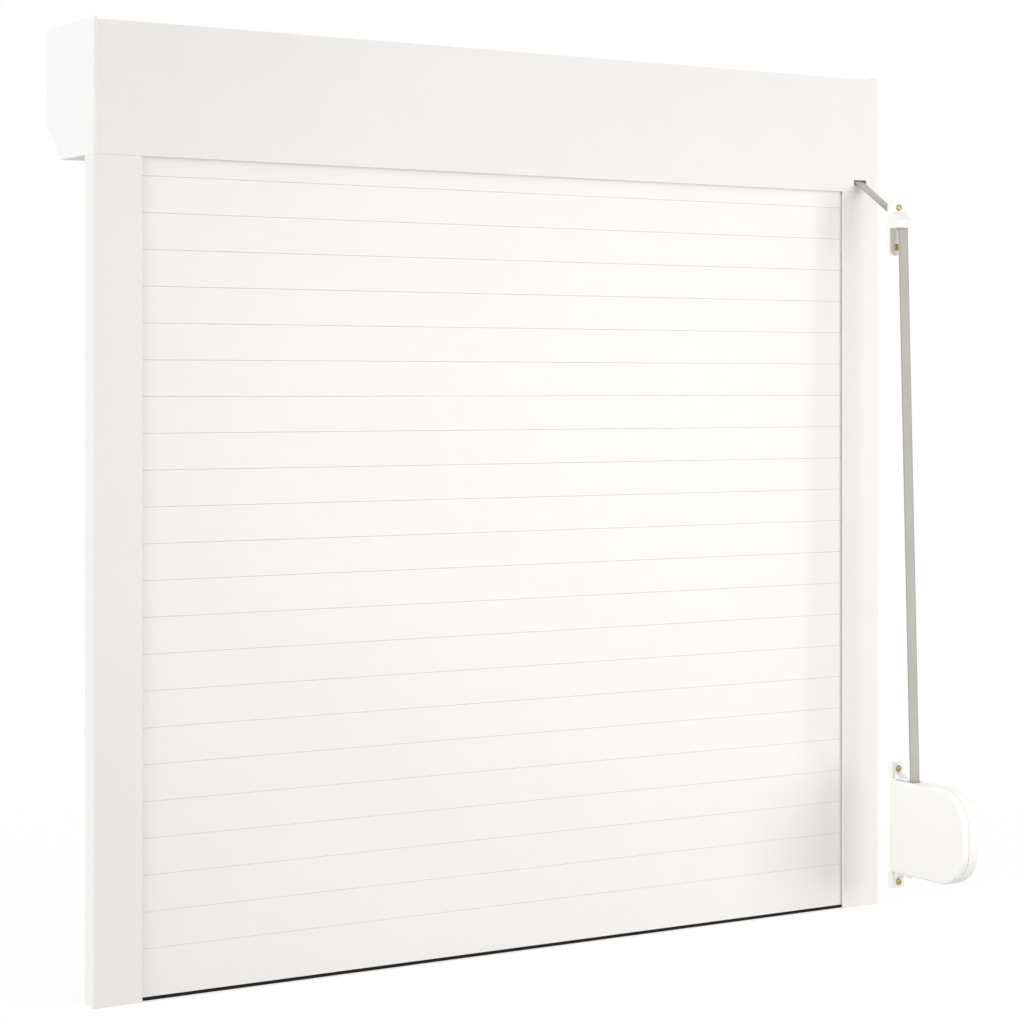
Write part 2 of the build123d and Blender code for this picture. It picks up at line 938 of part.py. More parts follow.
def make_guide_plate():
    """The plate on the wall, with the strap's window and the roller's cheeks."""
    radius = guide_width / 2
    plate = guide_front_view(
        guide_screw_low - radius, guide_screw_high + radius, guide_front, -wall_offset
    )
    cheek_reach = guide_roller_y - roller_pin_radius - cheek_wall
    cheek_z = roller_pin_radius + cheek_wall
    cheeks = make_cheeks(
        cheek_reach,
        guide_front,
        guide_roller_z - cheek_z,
        guide_roller_z + cheek_z,
        guide_roller_y,
        guide_roller_z,
    )
    plate = plate + cheeks - strap_channel()
    for z in (guide_screw_low, guide_screw_high):
        plate = plate - rod_y(
            screw_hole_radius, strap_x, z, guide_front - overrun, -wall_offset + overrun
        )
    return plate


def make_guide_cover():
    """The cover over the roller: a boss for the upper screw and a hood open below."""
    boss_y = guide_front - guide_boss_depth + guide_plate_thickness
    hood_y = -wall_offset - guide_hood_depth
    top = guide_screw_high + guide_width / 2
    bottom = guide_roller_z - guide_hood_drop
    hood_top = guide_roller_z + guide_hood_rise
    outline = [
        (guide_front, bottom),
        (guide_front, top),
        (boss_y, top),
        (boss_y, guide_screw_high - guide_end_margin / 2),
        (hood_y, hood_top),
        (hood_y, bottom),
    ]
    half = guide_width / 2
    solid = bar_x(outline, strap_x - half, strap_x + half)
    front = solid.edges().filter_by(Axis.X).filter_by(
        lambda e: abs(e.center().Y - hood_y) < overrun and e.center().Z > guide_roller_z
    )
    solid = fillet(front, guide_cover_fillet * 2)
    shape = guide_front_view(bottom - guide_width, top, hood_y - overrun, guide_front)
    solid = solid & shape
    inner_half = cheek_outer + cheek_gap
    cavity = rod_x(
        guide_hood_depth - guide_hood_wall - guide_roller_reach,
        guide_roller_y,
        guide_roller_z,
        strap_x - inner_half,
        strap_x + inner_half,
    )
    below = block(
        strap_x - inner_half,
        strap_x + inner_half,
        hood_y + guide_hood_wall,
        guide_front + overrun,
        bottom - overrun,
        guide_roller_z,
    )
    bore = rod_y(screw_hole_radius, strap_x, guide_screw_high, boss_y - overrun, guide_front + overrun)
    return solid - cavity - below - strap_channel() - bore


def make_wall_screw(z, y_seat):
    """A round-head wall screw, its head resting on the face at y_seat."""
    head = Pos(0, 0, screw_head_height / 2) * Cylinder(screw_head_radius, screw_head_height)
    head = fillet(head.edges().group_by(Axis.Z)[-1], screw_head_height * 3 / 4)
    length = -wall_offset - screw_end_gap - y_seat
    shank = Pos(0, 0, -length / 2) * Cylinder(screw_radius, length)
    cut = Pos(0, 0, screw_head_height)
    arm = 2 * screw_head_radius
    cross = Box(arm, screw_recess_width, screw_recess_depth * 2)
    cross = cross + Box(screw_recess_width, arm, screw_recess_depth * 2)
    limit = Cylinder(screw_head_radius / 2, screw_head_height * 2)
    screw = head + shank - cut * (cross & limit)
    return Pos(strap_x, y_seat, z) * Rot(90, 0, 0) * screw


# Strap winder
winder_rear = -wall_offset - winder_rear_gap
winder_front = winder_rear - winder_case_depth
winder_near = strap_x - winder_case_width / 2
winder_far = strap_x + winder_case_width / 2
winder_seam = winder_near + winder_seam_inset
pivot_y = -wall_offset - winder_pivot_reach
bracket_face = -wall_offset - bracket_depth
drum_y = winder_strap_y - drum_strap_radius - strap_gap - strap_offset
drum_z = sill + winder_height


def winder_shape(inset, x_low, x_high):
    """The winder's side view moved inwards by inset: square at the wall, round in front."""
    shape = block(
        x_low,
        x_high,
        winder_front + inset,
        winder_rear - inset,
        winder_low + inset,
        winder_high - inset,
    )
    along = shape.edges().filter_by(Axis.X)
    shape = fillet(along.group_by(Axis.Y)[0], winder_front_radius - inset)
    along = shape.edges().filter_by(Axis.X)
    rear_edges = along.filter_by(lambda e: abs(e.center().Y - winder_rear + inset) < winder_wall / 2)
    return fillet(rear_edges, winder_rear_radius - inset)


def case_screw_places():
    """The four corners, as (y, z), where screws join the winder's halves."""
    places = []
    for y in (winder_rear - case_screw_inset / 2, winder_front + case_screw_inset):
        for z in (winder_low + case_screw_inset, winder_high - case_screw_inset):
            places.append((y, z))
    return places


def make_winder_case(side):
    """One half of the winder's case; side is -1 for the left half and 1 for the right."""
    outer = winder_shape(0, winder_near, winder_far)
    rims = outer.faces().sort_by(Axis.X)
    outer = fillet(rims[0].edges() + rims[-1].edges(), winder_edge_radius)
    inner = winder_shape(winder_wall, winder_near + winder_wall, winder_far - winder_wall)
    case = outer - inner
    # a shallow groove runs round the case where its halves meet
    groove = (winder_seam - winder_seam_width / 2, winder_seam + winder_seam_width / 2)
    case = case - (winder_shape(-overrun, *groove) - winder_shape(winder_seam_depth, *groove))
    inlet = block(
        strap_x - winder_inlet_width / 2,
        strap_x + winder_inlet_width / 2,
        winder_strap_y - winder_inlet_front,
        winder_strap_y + winder_inlet_rear,
        winder_high - winder_wall - overrun,
        winder_high + overrun,
    )
    case = case - inlet
    if side < 0:
        keep = block(
            winder_near, winder_seam, winder_front, winder_rear, winder_low, winder_high
        )
    else:
        keep = block(
            winder_seam, winder_far, winder_front, winder_rear, winder_low, winder_high
        )
    case = case & keep
    for y, z in case_screw_places():
        if side < 0:
            case = case + rod_x(case_boss_radius, y, z, winder_near + winder_wall, winder_seam)
        else:
            case = case + rod_x(case_boss_radius, y, z, winder_seam, winder_far - winder_wall)
        case = case - rod_x(
            case_screw_radius + case_screw_clearance,
            y,
            z,
            winder_near + winder_wall,
            winder_far + overrun,
        )
        case = case - rod_x(
            case_screw_head_radius + case_screw_clearance,
            y,
            z,
            winder_far - case_screw_head_height,
            winder_far + overrun,
        )
    if side > 0:
        case = case + rod_z(pivot_radius, strap_x, pivot_y, winder_high, winder_high + pivot_height)
        case = case + rod_z(pivot_radius, strap_x, pivot_y, winder_low - pivot_height, winder_low)
    return case


def make_case_screw(y, z):
    """A screw that holds the two halves together, its head sunk in the right half."""
    shank = rod_x(
        case_screw_radius, y, z, winder_near + 2 * winder_wall, winder_far - case_screw_head_height
    )
    head = rod_x(case_screw_head_radius, y, z, winder_far - case_screw_head_height, winder_far)
    recess = block(
        winder_far - case_screw_head_height / 2,
        winder_far + overrun,
        y - screw_recess_width / 2,
        y + screw_recess_width / 2,
        z - case_screw_head_radius - overrun,
        z + case_screw_head_radius + overrun,
    )
    return shank + head - recess


def make_winder_bracket(direction):
    """A moulded hinge bracket: direction is 1 over the case and -1 under it."""
    edge = winder_high if direction > 0 else winder_low
    levels = sorted((edge + direction * lug_gap, edge + direction * (lug_gap + lug_sheet)))
    body_levels = sorted((edge + direction * lug_gap, edge + direction * bracket_height))
    half = bracket_width / 2
    body = block(
        strap_x - half, strap_x + half, bracket_face, -wall_offset, body_levels[0], body_levels[1]
    )
    corners = body.edges().filter_by(Axis.Y)
    far_end = corners.group_by(Axis.Z)[-1 if direction > 0 else 0]
    body = fillet(far_end, bracket_corner_radius)
    body = chamfer(body.faces().sort_by(Axis.Y)[0].edges(), bracket_edge)
    gusset = bar_x(
        [
            (bracket_face + overrun, edge + direction * lug_gap),
            (bracket_face + overrun, edge + direction * bracket_gusset_rise),
            (bracket_face, edge + direction * bracket_gusset_rise),
            (-wall_offset - bracket_gusset_reach, edge + direction * (lug_gap + lug_sheet)),
            (-wall_offset - bracket_gusset_reach, edge + direction * lug_gap),
        ],
        strap_x - lug_eye_radius,
        strap_x + lug_eye_radius,
    )
    lug = block(
        strap_x - lug_eye_radius,
        strap_x + lug_eye_radius,
        pivot_y,
        bracket_face,
        levels[0],
        levels[1],
    )
    eye = rod_z(lug_eye_radius, strap_x, pivot_y, *levels)
    bore = rod_z(
        pivot_radius + pivot_clearance,
        strap_x,
        pivot_y,
        levels[0] - overrun,
        levels[1] + overrun,
    )
    screw_z = edge + direction * bracket_screw_rise
    screw_bore = rod_y(
        screw_hole_radius, strap_x, screw_z, bracket_face - overrun, -wall_offset + overrun
    )
    return body + gusset + lug + eye - bore - screw_bore


def make_drum():
    """The winder's drum: core with its spring hollow, hub and two flanges."""
    half = strap_width / 2 + drum_side_gap
    low = strap_x - half - drum_flange
    high = strap_x + half + drum_flange
    body = rod_x(drum_core_radius, drum_y, drum_z, low, high)
    body = body + rod_x(drum_flange_radius, drum_y, drum_z, low, low + drum_flange)
    body = body + rod_x(drum_flange_radius, drum_y, drum_z, high - drum_flange, high)
    hub = drum_axle_radius + drum_axle_clearance + drum_hub_wall
    hollow = ring_x(
        drum_core_radius - drum_rim, hub, drum_y, drum_z, low + drum_web, high + overrun
    )
    bore = rod_x(
        drum_axle_radius + drum_axle_clearance, drum_y, drum_z, low - overrun, high + overrun
    )
    return body - hollow - bore


def make_spring():
    """The flat spiral spring in the drum, seated on the hub."""
    half = strap_width / 2 + drum_side_gap
    low = strap_x - half - drum_flange + drum_web + spring_clearance
    start = drum_axle_radius + drum_axle_clearance + drum_hub_wall + spring_clearance
    points = []
    for i in range(spring_turns * spring_turn_points + 1):
        turn = i / spring_turn_points
        radius = start + spring_sheet + turn * spring_pitch
        angle = -turn * math.tau
        points.append((drum_y + radius * math.cos(angle), drum_z + radius * math.sin(angle)))
    return bar_x(sheet_outline(points[::-1], spring_sheet), low, strap_x + half)


def make_drum_axle():
    """The fixed axle that the drum turns on, between the case's inner faces."""
    return rod_x(
        drum_axle_radius, drum_y, drum_z, winder_near + winder_wall, winder_far - winder_wall
    )


def make_strap_on_drum():
    """The few turns of strap on the drum while the shutter is closed."""
    inner = drum_core_radius + strap_gap
    return ring_x(drum_strap_radius, inner, drum_y, drum_z, strap_near, strap_far)


def make_strap_in_winder():
    """The strap's stretch inside the case, from the inlet to the drum."""
    return block(
        strap_near,
        strap_far,
        winder_strap_y - strap_offset,
        winder_strap_y + strap_offset,
        drum_z,
        winder_high,
    )


os.makedirs("parts", exist_ok=True)

save("box_back_panel", make_back_panel())
save("box_top_panel", make_top_panel())
save("box_front_panel", make_front_panel())
save("box_inspection_cover", make_inspection_cover())
save("cover_screws", *[make_cover_screw(place) for place in cover_screw_places()])

right_cap = make_end_cap()
save("right_end_cap", right_cap)
save("left_end_cap", mirrored(right_cap))

right_rail = make_rail()
save("right_rail", right_rail)
save("left_rail", mirrored(right_rail))
brushes = make_brushes()
save("rail_brushes", *brushes, *[mirrored(brush) for brush in brushes])
inlet = make_inlet()
save("rail_inlets", inlet, mirrored(inlet))

slat = make_slat()
for number in range(1, slat_count + 1):
    save(f"slat_{number:02d}", Pos(0, 0, slat_bottom(number)) * slat)
save("end_slat", make_end_slat())
save("bottom_seal", make_seal())
save("slat_end_clips", *make_end_clips())
save("end_slat_plugs", *make_end_slat_plugs())

save("axle_tube", make_tube())
save("axle_idler_plug", make_idler_plug())
save("strap_pulley", make_pulley())
bearing = make_bearing()
save("axle_bearings", bearing, mirrored(bearing))
save("curtain_attachments", *make_attachments())

save("strap", make_strap())
save("strap_on_pulley", make_strap_on_pulley())
save("strap_on_drum", make_strap_on_drum())
save("strap_in_winder", make_strap_in_winder())

save("slot_guide", make_slot_guide())
save("slot_roller", make_roller(slot_roller_radius, slot_roller_y, slot_roller_z))
save("guide_plate", make_guide_plate())
save("guide_cover", make_guide_cover())
save("guide_roller", make_roller(guide_roller_radius, guide_roller_y, guide_roller_z))
save(
    "roller_pins",
    make_roller_pin(slot_roller_y, slot_roller_z),
    make_roller_pin(guide_roller_y, guide_roller_z),
)

save("winder_case_left", make_winder_case(-1))
save("winder_case_right", make_winder_case(1))
save("winder_case_screws", *[make_case_screw(y, z) for y, z in case_screw_places()])
save("winder_brackets", make_winder_bracket(1), make_winder_bracket(-1))
save("winder_drum", make_drum())
save("winder_spring", make_spring())
save("winder_axle", make_drum_axle())

boss_face = guide_front - guide_boss_depth + guide_plate_thickness
save(
    "wall_screws",
    make_wall_screw(guide_screw_high, boss_face),
    make_wall_screw(guide_screw_low, guide_front),
    make_wall_screw(winder_high + bracket_screw_rise, bracket_face),
    make_wall_screw(winder_low - bracket_screw_rise, bracket_face),
)
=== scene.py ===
import json
import math
import random

import bpy
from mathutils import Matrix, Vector


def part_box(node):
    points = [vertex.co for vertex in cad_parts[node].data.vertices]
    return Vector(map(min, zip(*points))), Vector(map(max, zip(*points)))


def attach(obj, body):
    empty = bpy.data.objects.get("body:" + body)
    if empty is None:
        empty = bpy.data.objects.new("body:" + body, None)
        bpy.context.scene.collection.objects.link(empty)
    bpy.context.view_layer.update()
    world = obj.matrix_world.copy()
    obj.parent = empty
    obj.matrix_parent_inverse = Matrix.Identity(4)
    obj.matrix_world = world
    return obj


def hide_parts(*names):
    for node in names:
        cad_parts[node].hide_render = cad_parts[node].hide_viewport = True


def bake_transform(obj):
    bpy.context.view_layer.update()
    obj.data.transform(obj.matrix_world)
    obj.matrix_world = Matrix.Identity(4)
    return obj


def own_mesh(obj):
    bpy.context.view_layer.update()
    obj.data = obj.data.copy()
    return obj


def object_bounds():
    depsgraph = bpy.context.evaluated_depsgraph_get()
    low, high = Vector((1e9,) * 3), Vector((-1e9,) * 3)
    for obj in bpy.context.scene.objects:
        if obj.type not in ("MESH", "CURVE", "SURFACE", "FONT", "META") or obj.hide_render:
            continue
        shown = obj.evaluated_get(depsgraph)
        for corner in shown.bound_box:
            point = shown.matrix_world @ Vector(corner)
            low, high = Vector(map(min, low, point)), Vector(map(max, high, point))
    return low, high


# Looks of the roller shutter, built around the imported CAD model. Metres, in the model's frame.
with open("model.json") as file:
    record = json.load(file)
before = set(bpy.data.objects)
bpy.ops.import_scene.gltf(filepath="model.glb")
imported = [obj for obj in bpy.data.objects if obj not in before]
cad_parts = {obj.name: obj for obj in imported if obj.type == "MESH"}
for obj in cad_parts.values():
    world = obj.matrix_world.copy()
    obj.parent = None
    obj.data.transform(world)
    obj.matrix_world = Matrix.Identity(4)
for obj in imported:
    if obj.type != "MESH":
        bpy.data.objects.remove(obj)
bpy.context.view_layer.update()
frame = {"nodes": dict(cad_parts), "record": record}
nodes = frame["nodes"]

# The bristles' lean is the same in every run
RANDOM_SEED = 7
random.seed(RANDOM_SEED)

# Strap and its route, with the CAD model's values
STRAP_X = 0.473
STRAP_WIDTH = 0.014
STRAP_SHEET = 0.0012
STRAP_GAP = 0.0003
STRAP_SLOPE = math.radians(32.6)
AXLE_Y = 0.061
BOX_LOW = -0.06725
WALL_Y = -0.062
PULLEY_STRAP_RADIUS = 0.048
PULLEY_CORE_RADIUS = 0.0415
DRUM_STRAP_RADIUS = 0.030
DRUM_CORE_RADIUS = 0.026
SLOT_STRAP_RISE = 0.011
SLOT_STRAP_Z = BOX_LOW + SLOT_STRAP_RISE
SLOT_ROLLER_REACH = 0.0045
SLOT_ROLLER_LINE = 0.0049
GUIDE_ROLLER_REACH = 0.0101
GUIDE_ROLLER_LINE = 0.0059
WINDER_STRAP_REACH = 0.037
WINDER_STRAP_Y = WALL_Y - WINDER_STRAP_REACH
WINDER_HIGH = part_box("winder_case_left")[1][2]

# How the strap is drawn
STRAP_LAYER = 1.03
STRAP_STEP = 0.004
STRAP_ARC_STEP = math.radians(6)
STRAP_TURN_STEPS = 72
CREASE = math.radians(50)

# Camera found from the photograph's edges
CAMERA_PLACE = (-1.48257, -2.39429, -0.30020)
CAMERA_YAW = math.radians(31.546)
CAMERA_LENS = 90.578
CAMERA_SHIFT_Y = -0.12062
CAMERA_SENSOR = 36.0
CAMERA_FAR = 60.0

# Light of the studio
FLOOR_SIZE = 30
FLOOR_COLOUR = (0.8, 0.8, 0.8, 1)
FLOOR_GLOW = 0.44
SKY_LIGHT = 0.70
SKY_SEEN = 1.0
WHITE = (1, 1, 1, 1)

# Stretch of a grain over X, Y and Z
EVEN = (1, 1, 1)
ALONG_X = (0.02, 1, 1)
ALONG_Z = (1, 1, 0.02)
PARTLY_ALONG_Z = (1, 1, 0.1)


# Materials
def shader(name):
    """A new node material with one principled shader."""
    material = bpy.data.materials.new(name)
    material.use_nodes = True
    tree = material.node_tree
    tree.nodes.clear()
    output = tree.nodes.new("ShaderNodeOutputMaterial")
    bsdf = tree.nodes.new("ShaderNodeBsdfPrincipled")
    tree.links.new(bsdf.outputs["BSDF"], output.inputs["Surface"])
    return material, tree, bsdf


def noise(tree, cells, detail=3.0, stretch=EVEN, roughness=0.55):
    """Noise over the object's own coordinates, in cells per metre."""
    place = tree.nodes.new("ShaderNodeTexCoord")
    mapping = tree.nodes.new("ShaderNodeMapping")
    mapping.inputs["Scale"].default_value = stretch
    texture = tree.nodes.new("ShaderNodeTexNoise")
    texture.inputs["Scale"].default_value = cells
    texture.inputs["Detail"].default_value = detail
    texture.inputs["Roughness"].default_value = roughness
    tree.links.new(place.outputs["Object"], mapping.inputs["Vector"])
    tree.links.new(mapping.outputs["Vector"], texture.inputs["Vector"])
    return texture.outputs["Fac"]


def spread(tree, value, low, high, start=0.3, end=0.7):
    """A value mapped from start..end to low..high."""
    node = tree.nodes.new("ShaderNodeMapRange")
    node.inputs["From Min"].default_value = start
    node.inputs["From Max"].default_value = end
    node.inputs["To Min"].default_value = low
    node.inputs["To Max"].default_value = high
    tree.links.new(value, node.inputs["Value"])
    return node.outputs["Result"]


def blend_colour(tree, factor, first, second):
    """One colour fading to another by the factor, each a colour or a socket."""
    node = tree.nodes.new("ShaderNodeMix")
    node.data_type = "RGBA"
    for socket, colour in (("A", first), ("B", second)):
        target = [s for s in node.inputs if s.name == socket and s.type == "RGBA"][0]
        if isinstance(colour, tuple):
            target.default_value = (*colour, 1)
        else:
            tree.links.new(colour, target)
    tree.links.new(factor, node.inputs["Factor"])
    return [s for s in node.outputs if s.type == "RGBA"][0]


def maths(tree, operation, first, second=None):
    """A math node on one or two values, each a number or a socket."""
    node = tree.nodes.new("ShaderNodeMath")
    node.operation = operation
    for index, value in enumerate((first, second)):
        if value is None:
            continue
        if isinstance(value, (int, float)):
            node.inputs[index].default_value = value
        else:
            tree.links.new(value, node.inputs[index])
    return node.outputs[0]


def bump(tree, bsdf, height, distance, strength=1.0, under=None):
    """A bump of the height in metres, on top of the one under it."""
    node = tree.nodes.new("ShaderNodeBump")
    node.inputs["Strength"].default_value = strength
    node.inputs["Distance"].default_value = distance
    tree.links.new(height, node.inputs["Height"])
    if under is not None:
        tree.links.new(under, node.inputs["Normal"])
    tree.links.new(node.outputs["Normal"], bsdf.inputs["Normal"])
    return node.outputs["Normal"]


def coating(name, colour, shade, rough, peel, peel_depth, stretch=EVEN, lines=0.0, dust=0.006):
    """White paint or plastic: cloudy tint, fine surface grain, drawn lines and a little dust."""
    dust_on_top = dust * 8
    dust_colour = (0.55, 0.53, 0.49)
    smoother = 0.02
    rougher = 0.03
    material, tree, bsdf = shader(name)
    cloud = noise(tree, cells=9.0, detail=4.0)
    tint = blend_colour(tree, spread(tree, cloud, low=0, high=1), colour, shade)
    # dust settles on faces that look up
    geometry = tree.nodes.new("ShaderNodeNewGeometry")
    split = tree.nodes.new("ShaderNodeSeparateXYZ")
    tree.links.new(geometry.outputs["Normal"], split.inputs["Vector"])
    specks = noise(tree, cells=420.0, detail=6.0)
    speck = spread(tree, specks, low=0, high=1, start=0.4, end=0.8)
    upward = spread(tree, split.outputs["Z"], low=0, high=dust_on_top, start=0.5, end=1.0)
    settled = maths(tree, "MULTIPLY", upward, speck)
    dusty = maths(tree, "ADD", settled, maths(tree, "MULTIPLY", speck, dust))
    tint = blend_colour(tree, dusty, tint, dust_colour)
    tree.links.new(tint, bsdf.inputs["Base Color"])
    worn = noise(tree, cells=60.0, detail=5.0)
    gloss = spread(tree, worn, low=rough - smoother, high=rough + rougher)
    tree.links.new(gloss, bsdf.inputs["Roughness"])
    normal = bump(tree, bsdf, noise(tree, cells=peel, detail=2.0), distance=peel_depth)
    if lines:
        drawn = noise(tree, cells=900.0, stretch=stretch)
        bump(tree, bsdf, drawn, distance=lines, under=normal)
    return material


def metal(name, colour, shade, rough, stretch=EVEN, patches=90.0):
    """Bare or plated metal with fine scratches and a patchy tone."""
    smoother = 0.08
    rougher = 0.1
    material, tree, bsdf = shader(name)
    bsdf.inputs["Metallic"].default_value = 1.0
    tone = noise(tree, cells=patches, detail=4.0)
    patch = spread(tree, tone, low=0, high=1, start=0.35, end=0.65)
    tree.links.new(blend_colour(tree, patch, colour, shade), bsdf.inputs["Base Color"])
    scratch = noise(tree, cells=1600.0, stretch=stretch)
    gloss = spread(tree, scratch, low=rough - smoother, high=rough + rougher)
    tree.links.new(gloss, bsdf.inputs["Roughness"])
    bump(tree, bsdf, scratch, distance=0.00003)
    return material


def textile(name):
    """The strap's plain weave, drawn over its own length and width, with firmer dark edges."""
    warp_threads = 17
    weft_spacing = 0.00085
    fuzz_height = 0.35
    # the valley colour is painted shade for the hollows between threads
    painted_shade_valley_yarn = (0.294, 0.278, 0.254)
    crown_yarn = (0.64, 0.616, 0.574)
    worn_yarn = (0.364, 0.346, 0.32)
    edge_yarn = (0.26, 0.248, 0.229)
    material, tree, bsdf = shader(name)
    place = tree.nodes.new("ShaderNodeUVMap")
    place.uv_map = "UVMap"
    split = tree.nodes.new("ShaderNodeSeparateXYZ")
    tree.links.new(place.outputs["UV"], split.inputs["Vector"])
    across = split.outputs["X"]
    along = split.outputs["Y"]
    warp = maths(tree, "SINE", maths(tree, "MULTIPLY", across, math.pi * warp_threads))
    weft = maths(tree, "SINE", maths(tree, "MULTIPLY", along, math.pi / weft_spacing))
    weave = maths(tree, "MULTIPLY", warp, weft)
    height = maths(tree, "ADD", maths(tree, "MULTIPLY", weave, 0.5), 0.5)
    fuzz = noise(tree, cells=2600.0, detail=4.0)
    height = maths(tree, "ADD", height, maths(tree, "MULTIPLY", fuzz, fuzz_height))
    # painted shade: the weave's valleys are coloured darker than its crowns
    yarn = blend_colour(tree, height, painted_shade_valley_yarn, crown_yarn)
    wear = noise(tree, cells=45.0, detail=4.0, stretch=(1, 1, 0.4))
    yarn = blend_colour(tree, spread(tree, wear, low=0.0, high=0.22), yarn, worn_yarn)
    # distance from the middle line, 0 in the middle and 1 at the edge
    side = maths(tree, "ABSOLUTE", maths(tree, "SUBTRACT", maths(tree, "MULTIPLY", across, 2), 1))
    edge = spread(tree, side, low=0.0, high=0.55, start=0.72, end=0.95)
    yarn = blend_colour(tree, edge, yarn, edge_yarn)
    tree.links.new(yarn, bsdf.inputs["Base Color"])
    tree.links.new(spread(tree, fuzz, low=0.8, high=0.95), bsdf.inputs["Roughness"])
    bsdf.inputs["Sheen Weight"].default_value = 0.25
    bsdf.inputs["Sheen Roughness"].default_value = 0.5
    bump(tree, bsdf, height, distance=0.00025, strength=0.9)
    return material


def dull(name, colour, shade, rough, cells, depth):
    """Rubber or fibre: matt, with a fine grain."""
    change = 0.08
    material, tree, bsdf = shader(name)
    grain = noise(tree, cells=cells, detail=4.0)
    tint = blend_colour(tree, spread(tree, grain, low=0, high=1), colour, shade)
    tree.links.new(tint, bsdf.inputs["Base Color"])
    worn = spread(tree, noise(tree, cells=70.0), low=rough - change, high=rough + change)
    tree.links.new(worn, bsdf.inputs["Roughness"])
    bump(tree, bsdf, grain, distance=depth)
    bsdf.inputs["Specular IOR Level"].default_value = 0.15
    return material


finish = {
    "box_paint": coating(
        "box_paint",
        colour=(0.868, 0.841, 0.816),
        shade=(0.852, 0.826, 0.801),
        rough=0.40,
        peel=1100,
        peel_depth=0.00003,
    ),
    "cap_paint": coating(
        "cap_paint",
        colour=(0.885, 0.875, 0.855),
        shade=(0.87, 0.86, 0.84),
        rough=0.42,
        peel=800,
        peel_depth=0.00005,
    ),
    "rail_paint": coating(
        "rail_paint",
        colour=(0.868, 0.842, 0.817),
        shade=(0.852, 0.827, 0.803),
        rough=0.38,
        peel=1200,
        peel_depth=0.00002,
        stretch=ALONG_Z,
        lines=0.00002,
    ),
    "slat_plastic": coating(
        "slat_plastic",
        colour=(0.91, 0.888, 0.858),
        shade=(0.897, 0.875, 0.846),
        rough=0.36,
        peel=900,
        peel_depth=0.00002,
        stretch=ALONG_X,
        lines=0.00003,
    ),
    "winder_plastic": coating(
        "winder_plastic",
        colour=(0.93, 0.91, 0.876),
        shade=(0.922, 0.902, 0.868),
        rough=0.30,
        peel=1500,
        peel_depth=0.00002,
        dust=0.004,
    ),
    "white_nylon": coating(
        "white_nylon",
        colour=(0.90, 0.89, 0.865),
        shade=(0.87, 0.86, 0.835),
        rough=0.45,
        peel=700,
        peel_depth=0.00004,
    ),
    "strap_textile": textile("strap_textile"),
    "seal_rubber": dull(
        "seal_rubber",
        colour=(0.008, 0.008, 0.008),
        shade=(0.018, 0.017, 0.016),
        rough=0.75,
        cells=1300,
        depth=0.00005,
    ),
    "brush_pile": dull(
        "brush_pile",
        colour=(0.84, 0.83, 0.80),
        shade=(0.92, 0.91, 0.88),
        rough=0.85,
        cells=2500,
        depth=0.00008,
    ),
    "zinc_steel": metal(
        "zinc_steel",
        colour=(0.60, 0.61, 0.61),
        shade=(0.47, 0.48, 0.49),
        rough=0.38,
        patches=320.0,
    ),
    "spring_steel": metal(
        "spring_steel",
        colour=(0.34, 0.35, 0.38),
        shade=(0.24, 0.25, 0.28),
        rough=0.32,
        stretch=PARTLY_ALONG_Z,
    ),
    "brass_screw": metal(
        "brass_screw",
        colour=(0.50, 0.40, 0.20),
        shade=(0.33, 0.25, 0.12),
        rough=0.36,
        patches=320.0,
    ),
}

# the end slat is painted like the slats above it
end_slat_paint = coating(
    "end_slat_paint",
    colour=(0.91, 0.888, 0.858),
    shade=(0.897, 0.875, 0.846),
    rough=0.36,
    peel=900,
    peel_depth=0.00002,
    stretch=ALONG_X,
    lines=0.00002,
)

for row in frame["record"]["subparts"]:
    node = nodes[row["node"]]
    material = end_slat_paint if row["node"] == "end_slat" else finish[row["material_slot"]]
    if node.material_slots:
        for place in node.material_slots:
            place.material = material
    else:
        node.data.materials.append(material)


# New pieces
def new_piece(name, vertices, faces, slot, smooth=True):
    """A mesh object from its points and faces, with the finish of one material slot."""
    mesh = bpy.data.meshes.new(name)
    mesh.from_pydata(vertices, [], faces)
    mesh.validate()
    mesh.update()
    piece = bpy.data.objects.new(name, mesh)
    bpy.context.scene.collection.objects.link(piece)
    mesh.materials.append(finish[slot])
    if smooth:
        mesh.polygons.foreach_set("use_smooth", [True] * len(mesh.polygons))
    return piece


def tube_faces(rings, count, base=0):
    """Faces of a closed tube through rings of points, with a cap at each end."""
    faces = []
    for i in range(rings - 1):
        first = base + i * count
        for j in range(count):
            k = (j + 1) % count
            faces.append((first + j, first + k, first + count + k, first + count + j))
    last = base + (rings - 1) * count
    faces.append(tuple(range(base + count - 1, base - 1, -1)))
    faces.append(tuple(range(last, last + count)))
    return faces


def strip_ring(path, i, x, section):
    """The section of a strip, set square to its (y, z) path at the i-th point."""
    before = path[max(i - 1, 0)]
    after = path[min(i + 1, len(path) - 1)]
    run = Vector((after[0] - before[0], after[1] - before[1])).normalized()
    y, z = path[i]
    return [(x + across, y - thick * run.y, z + thick * run.x) for across, thick in section]


def strap_section():
    """The strap's closed section as (across, thickness) points, thinner at its woven edges."""
    half = STRAP_WIDTH / 2
    full = STRAP_SHEET / 2
    top = [
        (-half, 0.0),
        (-half * 0.985, full * 0.6),
        (-half * 0.94, full * 0.95),
        (-half * 0.86, full * 0.82),
        (-half * 0.5, full),
        (0.0, full * 0.96),
    ]
    top = top + [(-x, y) for x, y in top[-2::-1]]
    return top + [(x, -y) for x, y in top[-2:0:-1]]


